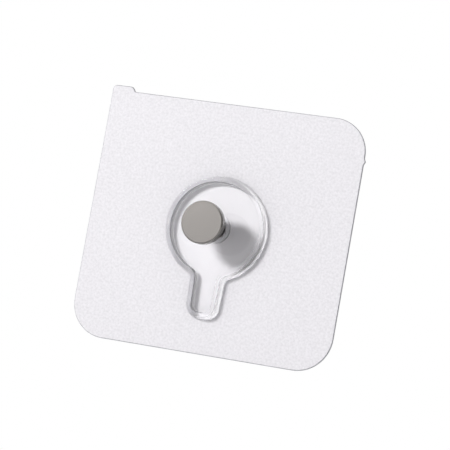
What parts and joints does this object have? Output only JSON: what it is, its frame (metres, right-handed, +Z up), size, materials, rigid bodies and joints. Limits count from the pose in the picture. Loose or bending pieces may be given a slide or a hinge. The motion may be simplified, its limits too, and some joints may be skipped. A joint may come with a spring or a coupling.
{
  "type": "adhesive picture hook",
  "caption": "Stick-on picture hook: a rounded square of frosted clear film with a peel tab, a clear keyhole-shaped base on its front and a flat-headed threaded steel screw standing out of it.",
  "frame": {"origin": "middle of the film's back face, which lies flat on the wall, on the screw's axis", "axes": "+Z up the wall, +Y into the wall along the screw's axis, so the front and the screw's head face -Y, and +X to the right as seen from the front"},
  "size_m": [0.0623, 0.0117, 0.0581],
  "materials": {
    "frosted_film": "fine frosted, translucent",
    "clear_plastic": "clear, polished",
    "stainless_steel": "satin head, bright thread"
  },
  "bodies": {
    "root": {"adhesive_film": "frosted_film", "keyhole_base": "clear_plastic", "flat_head_screw": "stainless_steel"}
  },
  "joints": []
}
